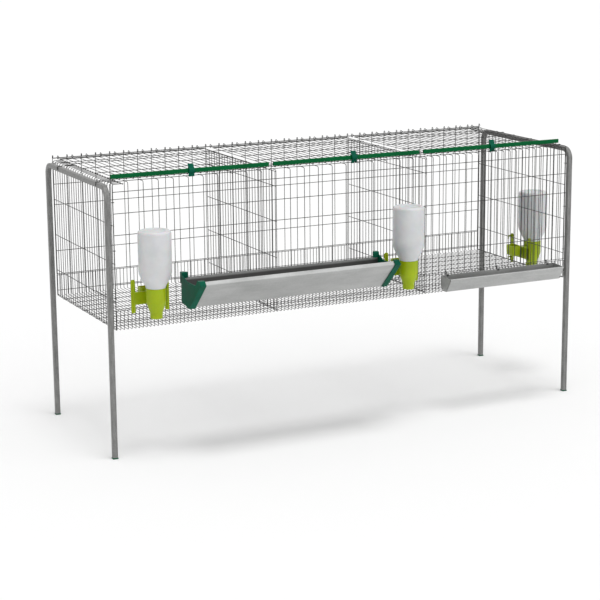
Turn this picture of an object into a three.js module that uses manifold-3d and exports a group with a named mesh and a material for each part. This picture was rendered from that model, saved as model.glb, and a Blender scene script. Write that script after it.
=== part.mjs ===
// Three-compartment wire cage for fattening chickens, hung between two bent tube frames.
// Millimetres. X runs along the cage, Y from front to back, Z up.
// Cage values count X from the cage's left end, Y from the front panel and Z from the floor wires.

import * as THREE from "three";
import { mergeVertices } from "three/addons/utils/BufferGeometryUtils.js";
import Module from "manifold-3d";

const wasm = await Module();
wasm.setup();

// Fits
const clearance = 0.3;            // between pieces that touch or turn on each other
const weldBite = 0.3;             // how far two welded wires sink into each other
const overrun = 5;                // how far a cut runs past what it cuts

// Cage
const compartmentLength = 550;
const compartmentCount = 3;
const cageDepth = 562.5;
const coarsePitch = 50;
const middlePitch = 25;
const finePitch = 22.5;
const cageLength = compartmentLength * compartmentCount;

// Whole steps over a length, as near to the wanted pitch as they come
const evenStep = (length, pitch) => length / Math.round(length / pitch);
const coarseStep = evenStep(compartmentLength, coarsePitch);
const middleStep = evenStep(compartmentLength, middlePitch);

// Wires, as the half width of their square section across its corners
const panelWire = 1.25;
const floorWire = 1.12;
const railWire = 1.68;
const edgeWire = 1.7;
const ringWire = 0.8;

// Frames of square tube
const tubeSize = 16;
const tubeWall = 1.5;
const tubeCorner = 1.8;           // cut off each outer corner
const frameGap = 10;              // from the cage's end to the frame
const frameOverhang = 4.25;       // how far a frame stands in front of and behind the cage
const frameTop = 454;
const frameBendRadius = 40;       // outside of the bend
const bendSteps = 5;
const floorHeight = 413;          // floor wires above the ground
const footFlange = 4;
const footOverlap = 1;            // flange beyond the tube on each side
const footPeg = 22;

// Front panel
const frontRows = [66, 144, 298, 365, 432];
const frontLipZ = 459.5;
const frontLipDepth = 40;

// Rear panel
const rearRows = [73, 152, 308, 377, 447];
const floorRearTop = 69;

// End panels and dividers
const endRows = [87, 207, 326];
const endLipDepth = 35;
const hookPlaceShares = [0.1316, 0.7751];  // of the cage's depth
const hookDrop = 13;
const dividerRows = [59, 175, 292, 406];
const dividerTop = 453.5;
const dividerFront = 8;
const dividerRearGap = 7.5;

// Floor
const floorPitch = 25;
const floorCrossCount = 8;
const floorFrontY = -2.5;
const floorFrontRows = [25, 61.5];
const floorRearRow = 17;

// Lids
const lidMargin = 16.25;          // from the compartment's end to the lid's outer wire
const lidFrontY = 37;
const lidUpturn = 15;
const lidFirstRow = 78;
const lidRowCount = 5;
const lidRowGap = 14.5;           // between the last of those rows and the rear row
const lidRearGap = 25;            // from the rear row to the hinge rail
const curlStart = 17.5;           // first hinge curl from the compartment's left end
const curlSides = 6;
const curlEnd = 170;              // degrees from the curl's back to its end, underneath

// Edge strips
const stripEndGap = 8;            // from the compartment's end
const stripWall = 1.2;
const stripHeight = 13.4;

// Latch clips
const clipPlaceShares = [0.5, 0.54, 0.5];  // of the gaps between the lid's wires
const clipWall = 1.9;
const clipSides = 16;
const clipTabWidth = 3.2;
const clipTabTop = 21;            // above the turning axis
const clipTabLean = 5;
const clipFingerWall = 3;
const clipFingerDrop = 18.7;      // below the turning axis
const clipNibHeight = 2.2;
const clipWireRoom = 0.5;         // beside each wire that the clip passes

// Long trough
const sheet = 1;
const longTroughFromLeft = 106;   // from the left drinker's axis
const longTroughToMiddle = 86;    // to the middle drinker's axis
const longTroughBackTop = 145;
const longTroughBackFold = 71;
const longTroughBottomRun = 57.35;  // from the back wall to the fold in front
const longTroughBottomZ = 61.5;
const longTroughDepth = 145.35;   // from the back wall to the fold under the rim
const longTroughFrontTop = 147;
const longTroughRim = 9.5;        // how far the rim leans in and how far it rises
const capLength = 20;
const capWall = 3;
const capEndWall = 3;
const capSideTop = 141;
const capNose = 20;               // roof over the rim, from the fold
const capNoseSlope = 16;
const capBlock = 8.65;
const capBlockSlope = 32;
const capBlockStep = 155;
const capHookWidth = 12;
const capHookInset = 0.5;
const capHookTop = 163.5;
const capHookWall = 4.5;
const capHookTip = 128;
const capHookCorner = 2;

// Small trough
const smallTroughRightGap = 45;
const smallTroughLength = 450;
const smallTroughBackTop = 58;
const smallTroughBackFold = 20;
const smallTroughBottomBack = 19.5;
const smallTroughBottomFront = 36;
const smallTroughBottomZ = 8;
const smallTroughCrease = 53.5;
const smallTroughCreaseZ = 32;
const smallTroughFront = 65.5;
const smallTroughFrontTop = 54;
const smallTroughRim = 6;
const smallTabWidth = 8;
const smallTabTip = 57;
const smallTabInset = 25;

// Drinkers: sizes from the bottle's axis, heights as on the front panel
const drinkerReach = 57;          // bottle axis in front of the panel
const bottleRadius = 52;
const bottleTop = 315;
const bottleCrown = 10;
const bottleCrownShare = 0.3;     // of the crown, at the middle of its curve
const bottleStraightEnd = 180;
const bottleShoulderRadius = 41;
const bottleShoulderZ = 157;
const bottleCollarRadius = 31;
const bottleCollarTop = 140;
const bottleNeckRadius = 26.5;
const bottleNeckEnd = 106;
const bottleWall = 2;
const bottleSides = 16;
const cupRadius = 31;
const cupTop = 135;
const cupStraightEnd = 90;
const cupFootRadius = 19.5;
const cupTaperEnd = 57;
const cupBottom = 39;
const cupWall = 2.5;
const cupFloor = 62;
const cupSides = 14;
const plateSpan = 112;            // between the middles of the two hook bars
const plateWall = 3;
const plateBottom = 76;
const plateTop = 117;
const plateFlange = 9;
const barWidth = 14;
const barBottom = 50;
const barTop = 156;
const barRib = 5;
const hookLegWall = 2.5;
const hookLegLength = 10;
const hookLegWidth = 5;
const hookCap = 4;
const armWidth = 30;
const armBottom = 80;
const neckWidth = 16;
const neckBottom = 90;
const neckWall = 2.5;
const innerCupWidth = 50;
const innerCupDepth = 34;
const innerCupTop = 124;
const innerCupBottom = 87;
const innerCupWall = 2.5;
const innerCupGap = 6;            // from the panel to the inner cup
const leftDrinkerX = 110;
const middleDrinkerGap = 99;      // from the second divider
const sideDrinkerShare = 0.5;     // of the cage's depth

// Rings that tie the corners
const ringHeights = [100, 250, 400];
const ringEnd = 150;              // degrees each way from the ring's middle

// Colours from the photograph
const looks = {
  galvanised: { color: 0x9a9c9b, roughness: 0.45, metalness: 0.85 },
  tube: { color: 0x8d8f8e, roughness: 0.5, metalness: 0.8 },
  sheet: { color: 0xb4b6b4, roughness: 0.35, metalness: 0.9 },
  green: { color: 0x04693a, roughness: 0.45, metalness: 0 },
  darkGreen: { color: 0x16704f, roughness: 0.5, metalness: 0 },
  lime: { color: 0xa9bd18, roughness: 0.4, metalness: 0 },
  bottle: { color: 0xe4e6e4, roughness: 0.35, metalness: 0 },
  foot: { color: 0x1d5a44, roughness: 0.6, metalness: 0 },
};

// Levels and layers that follow from the sizes above
const weldedLayer = 2 * panelWire - weldBite;
const clearLayer = 2 * panelWire + clearance;
const borderShift = clearLayer - weldedLayer;
const floorWeldedLayer = 2 * floorWire - weldBite;
const floorClearLayer = 2 * floorWire + clearance;
const floorBorderShift = floorClearLayer - floorWeldedLayer;
const cornerOffset = 2 * panelWire + clearance;
const rearVerticalY = cageDepth + railWire + panelWire - weldBite;
const rearRowY = rearVerticalY - clearLayer;
const endFrontY = cornerOffset;
const endBackY = rearVerticalY - weldedLayer - cornerOffset - borderShift;
const standLevel = floorWire + clearance + panelWire;
const endLipZ = frameTop + clearance + panelWire;
const lidZ = frontLipZ + 2 * panelWire + clearance;
const curlRadius = railWire + clearance + panelWire;
const curlLevel = lidZ + clearLayer + weldedLayer;
const railZ = curlLevel - curlRadius;
const lidCells = Math.round((compartmentLength - 2 * lidMargin) / finePitch);
const lidStep = (compartmentLength - 2 * lidMargin) / lidCells;
const lidRearRow = cageDepth - lidRearGap;
const edgeWireZ = lidZ + lidUpturn;
const stripTop = edgeWireZ + edgeWire + clearance + stripWall;
const stripHalf = edgeWire + clearance + stripWall;
const clipAxisZ = stripTop - stripHeight / 2;
const clipHole = Math.hypot(stripHalf, stripHeight / 2) + clearance;
const frontLipEndZ = frontLipZ - clearLayer;
const rowFront = -(clearLayer + panelWire);
const floorRowFront = floorFrontY - floorClearLayer - floorWire;
const holderBackY = floorFrontY - floorWeldedLayer - floorWire - clearance;
const hookReach = clearLayer + panelWire + clearance - holderBackY;

const middleDrinkerX = (compartmentCount - 1) * compartmentLength - middleDrinkerGap;
const longTroughLeft = leftDrinkerX + longTroughFromLeft;
const longTroughRight = middleDrinkerX - longTroughToMiddle;
const smallTroughLeft = cageLength - smallTroughRightGap - smallTroughLength;

const v = (x, y, z) => new THREE.Vector3(x, y, z);
const radians = THREE.MathUtils.degToRad;

// Turns a three.js geometry into a solid and back
function solid(geometry) {
  const plain = geometry.clone();
  plain.deleteAttribute("normal");
  plain.deleteAttribute("uv");
  const merged = mergeVertices(plain, 1e-4);
  return new wasm.Manifold(new wasm.Mesh({
    numProp: 3,
    vertProperties: new Float32Array(merged.attributes.position.array),
    triVerts: new Uint32Array(merged.index.array),
  }));
}

function geometryOf(body) {
  const mesh = body.getMesh();
  const geometry = new THREE.BufferGeometry();
  geometry.setAttribute("position", new THREE.BufferAttribute(mesh.vertProperties, 3));
  geometry.setIndex(new THREE.BufferAttribute(mesh.triVerts, 1));
  geometry.computeVertexNormals();
  return geometry;
}

function join(bodies) {
  return wasm.Manifold.union(bodies);
}

// A section carried along points that lie in one plane, mitred at each bend.
// Each section point is [across the path in the plane, along the plane's normal].
function sweep(points, section, planeNormal) {
  const sides = section.length;
  const positions = [];
  const faces = [];
  points.forEach((point, i) => {
    const before = i > 0 ? point.clone().sub(points[i - 1]).normalize() : null;
    const after = i < points.length - 1 ? points[i + 1].clone().sub(point).normalize() : null;
    const along = (before ?? after).clone().add(after ?? before).normalize();
    const across = along.clone().cross(planeNormal).normalize();
    const stretch = 1 / along.dot(after ?? before);
    for (const [side, rise] of section) {
      const corner = point.clone().addScaledVector(across, side * stretch);
      corner.addScaledVector(planeNormal, rise);
      positions.push(corner.x, corner.y, corner.z);
    }
  });
  const last = (points.length - 1) * sides;
  for (let i = 0; i < points.length - 1; i += 1) {
    for (let j = 0; j < sides; j += 1) {
      const a = i * sides + j;
      const b = i * sides + ((j + 1) % sides);
      faces.push(a, b, b + sides, a, b + sides, a + sides);
    }
  }
  for (let j = 1; j < sides - 1; j += 1) {
    faces.push(0, j + 1, j);
    faces.push(last, last + j, last + j + 1);
  }
  const geometry = new THREE.BufferGeometry();
  geometry.setAttribute("position", new THREE.Float32BufferAttribute(positions, 3));
  geometry.setIndex(faces);
  const volume = signedVolume(geometry);
  if (volume < 0) geometry.setIndex(faces.reverse());
  return geometry;
}

function signedVolume(geometry) {
  const position = geometry.attributes.position;
  const index = geometry.index.array;
  const corner = (k) => new THREE.Vector3().fromBufferAttribute(position, index[k]);
  let volume = 0;
  for (let k = 0; k < index.length; k += 3) {
    volume += corner(k).dot(corner(k + 1).cross(corner(k + 2)));
  }
  return volume;
}

function wire(points, halfWidth, planeNormal) {
  const section = [[halfWidth, 0], [0, halfWidth], [-halfWidth, 0], [0, -halfWidth]];
  return solid(sweep(points, section, planeNormal));
}

const wireAlongX = (x0, x1, y, z, size) => wire([v(x0, y, z), v(x1, y, z)], size, v(0, 0, 1));
const wireAlongY = (x, y0, y1, z, size) => wire([v(x, y0, z), v(x, y1, z)], size, v(0, 0, 1));
const wireAlongZ = (x, y, z0, z1, size) => wire([v(x, y, z0), v(x, y, z1)], size, v(1, 0, 0));

function box(x0, x1, y0, y1, z0, z1) {
  const geometry = new THREE.BoxGeometry(x1 - x0, y1 - y0, z1 - z0);
  geometry.translate((x0 + x1) / 2, (y0 + y1) / 2, (z0 + z1) / 2);
  return solid(geometry);
}

// An outline of [y, z] points carried along X
function plateAlongX(outline, x0, x1, holes = []) {
  const shape = new THREE.Shape(outline.map(([y, z]) => new THREE.Vector2(y, z)));
  for (const hole of holes) shape.holes.push(new THREE.Path(hole.map(([y, z]) => new THREE.Vector2(y, z))));
  const geometry = new THREE.ExtrudeGeometry(shape, { depth: x1 - x0, bevelEnabled: false });
  geometry.applyMatrix4(new THREE.Matrix4().makeBasis(v(0, 1, 0), v(0, 0, 1), v(1, 0, 0)));
  geometry.translate(x0, 0, 0);
  return solid(geometry);
}

// Points beside a folded line of [y, z] points, at one distance from it
function beside(line, distance) {
  return line.map((point, i) => {
    const here = new THREE.Vector2(...point);
    const before = i > 0 ? here.clone().sub(new THREE.Vector2(...line[i - 1])).normalize() : null;
    const after = i < line.length - 1 ? new THREE.Vector2(...line[i + 1]).sub(here).normalize() : null;
    const along = (before ?? after).clone().add(after ?? before).normalize();
    const stretch = distance / along.dot(after ?? before);
    return [here.x - along.y * stretch, here.y + along.x * stretch];
  });
}

function foldedSheet(line, thickness) {
  return [...line, ...beside(line, thickness).reverse()];
}

const part = new THREE.Group();
const cage = new THREE.Group();
part.add(cage);

function add(name, body, look) {
  const mesh = new THREE.Mesh(geometryOf(body), new THREE.MeshStandardMaterial(looks[look]));
  mesh.name = name;
  cage.add(mesh);
  return mesh;
}

const steps = (start, end, pitch) => {
  const count = Math.round((end - start) / pitch);
  return Array.from({ length: count + 1 }, (_, i) => start + i * pitch);
};
const atBorder = (list, i) => i === 0 || i === list.length - 1;
const nearestUpright = (place, pitch, first = 0) => first + Math.round((place - first) / pitch) * pitch;

// The place for something that passes between the uprights, moved just clear of the nearest one
function besideUpright(place, half, pitch, first = 0) {
  const upright = nearestUpright(place, pitch, first);
  const room = half + panelWire + clearance;
  if (Math.abs(place - upright) >= room) return place;
  return place < upright ? upright - room : upright + room;
}

// Frames: each an upside-down U of square tube, with a plug in each end
function frame(x0) {
  const centreX = x0 + tubeSize / 2;
  const frontY = -frameOverhang + tubeSize / 2;
  const backY = cageDepth + frameOverhang - tubeSize / 2;
  const topZ = frameTop - tubeSize / 2;
  const radius = frameBendRadius - tubeSize / 2;
  const endZ = -floorHeight + footFlange + clearance;
  const path = (extra) => {
    const points = [v(centreX, frontY, endZ - extra)];
    const addBend = (centreY, startAngle) => {
      for (let i = 0; i <= bendSteps; i += 1) {
        const angle = startAngle - (i / bendSteps) * (Math.PI / 2);
        points.push(v(
          centreX, centreY + radius * Math.cos(angle), topZ - radius + radius * Math.sin(angle),
        ));
      }
    };
    addBend(frontY + radius, Math.PI);
    addBend(backY - radius, Math.PI / 2);
    points.push(v(centreX, backY, endZ - extra));
    return points;
  };
  const half = tubeSize / 2;
  const flat = half - tubeCorner;
  const inside = half - tubeWall;
  const outer = [
    [half, flat], [flat, half], [-flat, half], [-half, flat],
    [-half, -flat], [-flat, -half], [flat, -half], [half, -flat],
  ];
  const bore = [[inside, inside], [-inside, inside], [-inside, -inside], [inside, -inside]];
  return solid(sweep(path(0), outer, v(1, 0, 0))).subtract(solid(sweep(path(overrun), bore, v(1, 0, 0))));
}

function footPlug(x0, y0) {
  const bore = tubeWall + clearance;
  const flange = box(
    x0 - footOverlap, x0 + tubeSize + footOverlap,
    y0 - footOverlap, y0 + tubeSize + footOverlap,
    -floorHeight, -floorHeight + footFlange,
  );
  const peg = box(
    x0 + bore, x0 + tubeSize - bore, y0 + bore, y0 + tubeSize - bore,
    -floorHeight, -floorHeight + footFlange + footPeg,
  );
  return flange.add(peg);
}

const frameLeftX = -frameGap - tubeSize;
const frameRightX = cageLength + frameGap;
const legFrontY = -frameOverhang;
const legBackY = cageDepth + frameOverhang - tubeSize;
add("left_frame", frame(frameLeftX), "tube");
add("right_frame", frame(frameRightX), "tube");
add("foot_plug_front_left", footPlug(frameLeftX, legFrontY), "foot");
add("foot_plug_rear_left", footPlug(frameLeftX, legBackY), "foot");
add("foot_plug_front_right", footPlug(frameRightX, legFrontY), "foot");
add("foot_plug_rear_right", footPlug(frameRightX, legBackY), "foot");

// Front panel: uprights bent back into a ledge, close together on the last compartment.
// Each upright is welded to the lowest row; the two border uprights are welded to every row.
function frontPanel() {
  const lastStart = (compartmentCount - 1) * compartmentLength;
  const places = [
    ...steps(0, lastStart, coarseStep),
    ...steps(lastStart + middleStep, cageLength, middleStep),
  ];
  const bottom = frontRows[0] - panelWire;
  const wires = places.map((x, i) => {
    const border = atBorder(places, i) ? borderShift : 0;
    return wire([
      v(x, -border, bottom),
      v(x, -border, frontLipZ - border),
      v(x, frontLipDepth + panelWire, frontLipZ - border),
    ], panelWire, v(1, 0, 0));
  });
  frontRows.forEach((z, i) => {
    const y = i === 0 ? -weldedLayer : -clearLayer;
    wires.push(wireAlongX(-panelWire, cageLength + panelWire, y, z, panelWire));
  });
  wires.push(wireAlongX(-panelWire, cageLength + panelWire, frontLipDepth, frontLipEndZ, panelWire));
  return join(wires);
}
add("front_panel", frontPanel(), "galvanised");

// Rear panel: uprights outside, rows inside, and the hinge rail along the top
function rearPanel() {
  const bottom = rearRows[0] - panelWire;
  const top = railZ + railWire;
  const places = steps(0, cageLength, coarseStep);
  const wires = places.map((x, i) => {
    const border = atBorder(places, i) ? borderShift : 0;
    return wireAlongZ(x, rearVerticalY - border, bottom, top, panelWire);
  });
  for (const z of rearRows) {
    wires.push(wireAlongX(-panelWire, cageLength + panelWire, rearRowY, z, panelWire));
  }
  wires.push(wireAlongX(-panelWire, cageLength + panelWire, cageDepth, railZ, railWire));
  return join(wires);
}
add("rear_panel", rearPanel(), "galvanised");

// End panels: a flat wall of fine uprights, and over it a lip of wires turned inwards.
// Each lip wire lies on the top of its upright.
const endPitch = (endBackY - endFrontY) / Math.round(cageDepth / finePitch);
const endPlaces = steps(endFrontY, endBackY, endPitch);
const endRowStart = endFrontY - panelWire;
const endRowEnd = endBackY + panelWire;

function endPanel(planeX, inward) {
  const bottom = standLevel - panelWire;
  const top = endLipZ - panelWire - clearance;
  const wires = endPlaces.map((y, i) => {
    const border = atBorder(endPlaces, i) ? borderShift : 0;
    return wireAlongZ(planeX + inward * border, y, bottom, top - border, panelWire);
  });
  wires.push(wireAlongY(planeX + inward * weldedLayer, endRowStart, endRowEnd, standLevel, panelWire));
  for (const z of endRows) {
    wires.push(wireAlongY(planeX + inward * clearLayer, endRowStart, endRowEnd, z, panelWire));
  }
  return join(wires);
}

// The lip's wires are welded to one row, and two of them reach out as hooks over the frame
function endLip(planeX, inward) {
  const normal = v(0, 1, 0);
  const lipEndX = planeX + inward * endLipDepth;
  const wires = endPlaces.map((y, i) => {
    const border = atBorder(endPlaces, i) ? borderShift : 0;
    const start = planeX + inward * (border - panelWire);
    return wire([
      v(start, y, endLipZ - border), v(lipEndX + inward * panelWire, y, endLipZ - border),
    ], panelWire, normal);
  });
  wires.push(wireAlongY(lipEndX, endRowStart, endRowEnd, endLipZ - weldedLayer, panelWire));
  const outsideX = planeX - inward * (frameGap + tubeSize + clearance + panelWire);
  for (const share of hookPlaceShares) {
    const y = besideUpright(share * cageDepth, panelWire, endPitch, endFrontY);
    wires.push(wire([
      v(lipEndX + inward * panelWire, y, endLipZ),
      v(outsideX, y, endLipZ),
      v(outsideX, y, endLipZ - hookDrop),
    ], panelWire, normal));
  }
  return join(wires);
}
add("left_end_panel", endPanel(0, 1), "galvanised");
add("right_end_panel", endPanel(cageLength, -1), "galvanised");
add("left_end_lip", endLip(0, 1), "galvanised");
add("right_end_lip", endLip(cageLength, -1), "galvanised");

// Dividers: flat fine-wire walls that stand on the floor wires
function divider(x) {
  const bottom = standLevel - panelWire;
  const top = dividerTop + panelWire;
  const dividerBack = cageDepth - dividerRearGap;
  const pitch = (dividerBack - dividerFront) / Math.round(cageDepth / finePitch);
  const places = steps(dividerFront, dividerBack, pitch);
  const wires = places.map((y, i) => {
    const border = atBorder(places, i) ? borderShift : 0;
    return wireAlongZ(x + border, y, bottom, top, panelWire);
  });
  const y0 = dividerFront - panelWire;
  const y1 = dividerBack + panelWire;
  wires.push(wireAlongY(x + weldedLayer, y0, y1, standLevel, panelWire));
  for (const z of [...dividerRows, dividerTop]) {
    wires.push(wireAlongY(x + clearLayer, y0, y1, z, panelWire));
  }
  return join(wires);
}
add("divider_1", divider(compartmentLength), "galvanised");
add("divider_2", divider(2 * compartmentLength), "galvanised");

// Floor tray: wires from front to back, turned up at both edges
function floorTray() {
  const rearY = rearVerticalY;
  const frontTop = floorFrontRows[1] + floorWire;
  const rearTop = floorRearTop + floorWire;
  const places = steps(0, cageLength, evenStep(cageLength, floorPitch));
  const wires = places.map((x, i) => {
    const border = atBorder(places, i) ? floorBorderShift : 0;
    return wire([
      v(x, floorFrontY - border, frontTop),
      v(x, floorFrontY - border, -border),
      v(x, rearY - border, -border),
      v(x, rearY - border, rearTop),
    ], floorWire, v(1, 0, 0));
  });
  const along = (y, z) => wireAlongX(-floorWire, cageLength + floorWire, y, z, floorWire);
  wires.push(along(floorFrontY - floorClearLayer, floorFrontRows[0]));
  wires.push(along(floorFrontY - floorWeldedLayer, floorFrontRows[1]));
  wires.push(along(rearY - floorClearLayer, floorRearRow));
  wires.push(along(rearY - floorClearLayer, floorRearTop));
  const crossPitch = (rearY - floorFrontY) / (floorCrossCount + 1);
  for (let i = 1; i <= floorCrossCount; i += 1) {
    wires.push(along(floorFrontY + i * crossPitch, -floorClearLayer));
  }
  return join(wires);
}
add("floor_tray", floorTray(), "galvanised");

// Lids: wires from front to back, a turned-up front edge, and curls round the hinge rail
function curl(x) {
  const half = Math.PI / curlSides;
  const reach = curlRadius / Math.cos(half);
  const points = [v(x, lidRearRow - panelWire, curlLevel)];
  for (let i = 0; i < curlSides; i += 1) {
    const angle = Math.PI / 2 - half - i * 2 * half;
    if (angle > -radians(curlEnd)) {
      points.push(v(x, cageDepth + reach * Math.cos(angle), railZ + reach * Math.sin(angle)));
    }
  }
  return wire(points, panelWire, v(1, 0, 0));
}

function lid(x0) {
  const left = x0 + lidMargin;
  const right = x0 + compartmentLength - lidMargin;
  const places = steps(left, right, lidStep);
  const wires = places.map((x, i) => {
    const border = atBorder(places, i) ? borderShift : 0;
    return wire([
      v(x, lidFrontY, edgeWireZ - clearance),
      v(x, lidFrontY, lidZ + border),
      v(x, lidRearRow + panelWire, lidZ + border),
    ], panelWire, v(1, 0, 0));
  });
  wires.push(wireAlongX(left - panelWire, right + panelWire, lidFrontY, edgeWireZ, edgeWire));
  const lastRow = lidRearRow - lidRowGap;
  const rows = steps(lidFirstRow, lastRow, (lastRow - lidFirstRow) / (lidRowCount - 1));
  for (const y of [...rows, lidRearRow]) {
    wires.push(wireAlongX(left - panelWire, right + panelWire, y, lidZ + clearLayer, panelWire));
  }
  for (const place of steps(0, compartmentLength - coarseStep, coarseStep)) {
    wires.push(curl(x0 + curlStart + place));
  }
  return join(wires);
}

// Edge strip: a plastic channel pressed down over the lid's front edge
function edgeStrip(x0) {
  const slot = stripHalf - stripWall;
  const outline = [
    [lidFrontY - stripHalf, stripTop - stripHeight], [lidFrontY - slot, stripTop - stripHeight],
    [lidFrontY - slot, stripTop - stripWall], [lidFrontY + slot, stripTop - stripWall],
    [lidFrontY + slot, stripTop - stripHeight], [lidFrontY + stripHalf, stripTop - stripHeight],
    [lidFrontY + stripHalf, stripTop], [lidFrontY - stripHalf, stripTop],
  ];
  return plateAlongX(outline, x0 + stripEndGap, x0 + compartmentLength - stripEndGap);
}

// Latch clip: an eye that turns on the strip, a finger in front of the ledge's last wire, and a thumb tab
const clipWidth = lidStep - 2 * (panelWire + clipWireRoom);
function latchClip(x0, share) {
  const centreX = x0 + lidMargin + (Math.floor(share * lidCells) + 1 / 2) * lidStep;
  const left = centreX - clipWidth / 2;
  const right = centreX + clipWidth / 2;
  const circle = (inside) => Array.from({ length: clipSides }, (_, i) => {
    const angle = ((i + 1 / 2) * 2 * Math.PI) / clipSides;
    const reach = inside / Math.cos(Math.PI / clipSides);
    return [lidFrontY + reach * Math.cos(angle), clipAxisZ + reach * Math.sin(angle)];
  });
  const ring = plateAlongX(circle(clipHole + clipWall), left, right, [circle(clipHole)]);
  const ringMiddle = clipHole + clipWall / 2;
  const nibY = frontLipDepth - panelWire - clearance;
  const fingerY = nibY - clipWall - clipFingerWall;
  const tipZ = clipAxisZ - clipFingerDrop;
  const finger = plateAlongX([
    [fingerY, tipZ], [nibY, tipZ], [nibY, tipZ + clipNibHeight],
    [fingerY + clipFingerWall, tipZ + clipNibHeight + clipWall],
    [fingerY + clipFingerWall, clipAxisZ - ringMiddle], [fingerY, clipAxisZ - ringMiddle + clipWall / 2],
  ], left, right);
  const tab = plateAlongX([
    [lidFrontY - clipTabWidth / 2, clipAxisZ + ringMiddle],
    [lidFrontY + clipTabWidth / 2, clipAxisZ + ringMiddle],
    [lidFrontY + clipTabLean + clipTabWidth / 2, clipAxisZ + clipTabTop],
    [lidFrontY + clipTabLean - clipTabWidth / 2, clipAxisZ + clipTabTop],
  ], left, right);
  const fineSide = centreX > (compartmentCount - 1) * compartmentLength;
  const upright = nearestUpright(centreX, fineSide ? middleStep : coarseStep);
  const slotHalf = panelWire + clipWireRoom;
  const slot = box(
    upright - slotHalf, upright + slotHalf, fingerY - overrun, nibY + overrun,
    tipZ - overrun, frontLipZ + panelWire + clearance,
  );
  return join([ring, finger, tab]).subtract(slot);
}

for (let i = 0; i < compartmentCount; i += 1) {
  const x0 = i * compartmentLength;
  add(`lid_${i + 1}`, lid(x0), "galvanised");
  add(`lid_strip_${i + 1}`, edgeStrip(x0), "green");
  add(`lid_clip_${i + 1}`, latchClip(x0, clipPlaceShares[i]), "darkGreen");
}

// Long trough: one folded sheet that runs into a moulded cap at each end
const capBackY = rowFront - clearance;
const troughBackY = capBackY - capWall - clearance - sheet;
const troughFrontY = troughBackY - longTroughDepth;
function longTroughLine(rim) {
  return [
    [troughBackY, longTroughBackTop], [troughBackY, longTroughBackFold],
    [troughBackY - longTroughBottomRun, longTroughBottomZ],
    [troughFrontY, longTroughFrontTop], [troughFrontY + rim, longTroughFrontTop + rim],
  ];
}
function longTrough() {
  const inset = capEndWall + clearance;
  const outline = foldedSheet(longTroughLine(longTroughRim), sheet);
  return plateAlongX(outline, longTroughLeft + inset, longTroughRight - inset);
}
add("long_trough", longTrough(), "sheet");

// End cap: a wall across the trough's end, a band round the sheet with a roof over the rim,
// and a block whose hook reaches between two uprights and over the second row
function troughCap(outerX, inward) {
  const line = longTroughLine(longTroughRim + clearance);
  const outer = beside(line, sheet + clearance + capWall);
  const inner = beside(line, sheet + clearance);
  const blockY = capBackY - capBlock;
  const noseY = troughFrontY + capNose;
  const spread = (a, b) => (inward > 0 ? [outerX + a, outerX + b] : [outerX - b, outerX - a]);
  const body = plateAlongX([
    [capBackY, capHookTop], ...outer.slice(1), [noseY, outer[4][1]], [noseY + capNoseSlope, capSideTop],
    [blockY - capBlockSlope, capSideTop], [blockY, capBlockStep],
    [blockY, capHookTop - capHookCorner], [blockY + capHookCorner, capHookTop],
  ], ...spread(0, capLength));
  const sheetTop = longTroughBackTop + clearance;
  const above = capHookTop + overrun;
  const pocket = plateAlongX([
    [inner[0][0], sheetTop], ...inner.slice(1), [noseY, inner[4][1]], [noseY, above],
    [blockY, above], [blockY, sheetTop],
  ], ...spread(capEndWall, capLength + overrun));
  const wireTop = frontRows[1] + panelWire + clearance;
  const legY = panelWire + clearance;
  const tipY = legY + capHookWall;
  const hookHalf = capHookWidth / 2;
  const hookX = besideUpright(outerX + inward * (capHookInset + hookHalf), hookHalf, coarseStep);
  const hook = plateAlongX([
    [capBackY - capWall, wireTop], [legY, wireTop], [legY, capHookTip], [tipY, capHookTip],
    [tipY, capHookTop - capHookCorner], [tipY - capHookCorner, capHookTop], [capBackY - capWall, capHookTop],
  ], hookX - hookHalf, hookX + hookHalf);
  return body.subtract(pocket).add(hook);
}
add("trough_cap_left", troughCap(longTroughLeft, 1), "darkGreen");
add("trough_cap_right", troughCap(longTroughRight, -1), "darkGreen");

// Small trough: folded sheet with closed ends, hung on the front panel's lowest row by bent tabs
function smallTrough() {
  const backY = floorRowFront - clearance;
  const line = [
    [backY, smallTroughBackTop], [backY, smallTroughBackFold],
    [backY - smallTroughBottomBack, smallTroughBottomZ], [backY - smallTroughBottomFront, smallTroughBottomZ],
    [backY - smallTroughCrease, smallTroughCreaseZ], [backY - smallTroughFront, smallTroughFrontTop],
    [backY - smallTroughFront + smallTroughRim, smallTroughFrontTop + sheet],
  ];
  const x1 = smallTroughLeft + smallTroughLength;
  const bodies = [plateAlongX(foldedSheet(line, -sheet), smallTroughLeft, x1)];
  const wall = line.slice(0, -1);
  bodies.push(plateAlongX(wall, smallTroughLeft, smallTroughLeft + sheet));
  bodies.push(plateAlongX(wall, x1 - sheet, x1));
  const top = frontRows[0] + panelWire + clearance;
  const legY = -weldedLayer + panelWire + clearance;
  const tab = [
    [backY, smallTroughBackTop - smallTroughRim], [backY, top], [legY, top], [legY, smallTabTip],
    [legY + sheet, smallTabTip], [legY + sheet, top + sheet], [backY - sheet, top + sheet],
    [backY - sheet, smallTroughBackTop - smallTroughRim],
  ];
  const tabHalf = smallTabWidth / 2;
  for (const place of [smallTroughLeft + smallTabInset, (smallTroughLeft + x1) / 2, x1 - smallTabInset]) {
    const tabX = besideUpright(place, tabHalf, middleStep);
    bodies.push(plateAlongX(tab, tabX - tabHalf, tabX + tabHalf));
  }
  return join(bodies);
}
add("small_trough", smallTrough(), "sheet");

// Drinkers, in a frame whose axis stands at the origin and whose panel lies behind at +Y
function lathe(profile, sides) {
  const geometry = new THREE.LatheGeometry(profile.map(([r, z]) => new THREE.Vector2(r, z)), sides);
  geometry.rotateX(Math.PI / 2);
  const body = solid(geometry);
  return body.volume() < 0 ? solid(flipped(geometry)) : body;
}

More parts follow.
